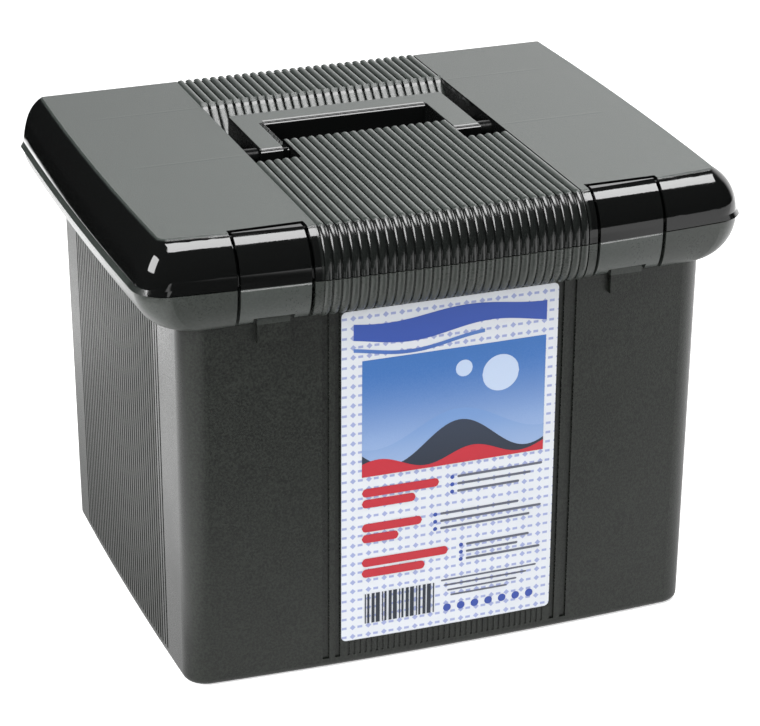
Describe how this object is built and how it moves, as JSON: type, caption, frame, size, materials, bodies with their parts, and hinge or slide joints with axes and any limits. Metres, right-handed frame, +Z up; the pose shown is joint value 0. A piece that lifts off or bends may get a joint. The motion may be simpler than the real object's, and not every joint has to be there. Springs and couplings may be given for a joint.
{
  "type": "portable file box",
  "caption": "Tapered moulded carrying box for hanging folders, with a hinged ribbed lid, two front latches, a fold-down handle set into the lid and a front label.",
  "frame": {"origin": "middle of the flat underside of the tub, under the middle of the lid", "axes": "+X to the right as seen from the front, +Y towards the hinges at the back, +Z up"},
  "size_m": [0.3592, 0.2838, 0.2723],
  "materials": {
    "black_plastic": "moulded black plastic, fine-grained walls and a polished rim",
    "latch_plastic": "glossy moulded black plastic",
    "handle_plastic": "glossy moulded black plastic with a matte top face",
    "pin_plastic": "black plastic pin",
    "pin_steel": "bright drawn steel",
    "label_paper": "printed coated paper"
  },
  "bodies": {
    "tub": {"body": "black_plastic", "hinge_pin_left": "pin_steel", "hinge_pin_right": "pin_steel", "front_label": "label_paper"},
    "lid": {"lid": "black_plastic", "latch_pin_left": "pin_plastic", "latch_pin_right": "pin_plastic", "handle_pin_left": "pin_plastic", "handle_pin_right": "pin_plastic"},
    "latch_left": {"latch_left": "latch_plastic"},
    "latch_right": {"latch_right": "latch_plastic"},
    "handle": {"handle": "handle_plastic"}
  },
  "joints": [
    {"name": "lid_hinge", "type": "hinge", "parent": "tub", "child": "lid", "pos_m": [0, 0.137, 0.2439], "axis": [-1, 0, 0], "range_deg": [0, 105]},
    {"name": "latch_left_hinge", "type": "hinge", "parent": "lid", "child": "latch_left", "pos_m": [-0.1032, -0.12228, 0.268], "axis": [-1, 0, 0], "range_deg": [0, 85]},
    {"name": "latch_right_hinge", "type": "hinge", "parent": "lid", "child": "latch_right", "pos_m": [0.1032, -0.12228, 0.268], "axis": [-1, 0, 0], "range_deg": [0, 85]},
    {"name": "handle_hinge", "type": "hinge", "parent": "lid", "child": "handle", "pos_m": [0, 0.0035, 0.2646], "axis": [1, 0, 0], "range_deg": [0, 90]}
  ]
}
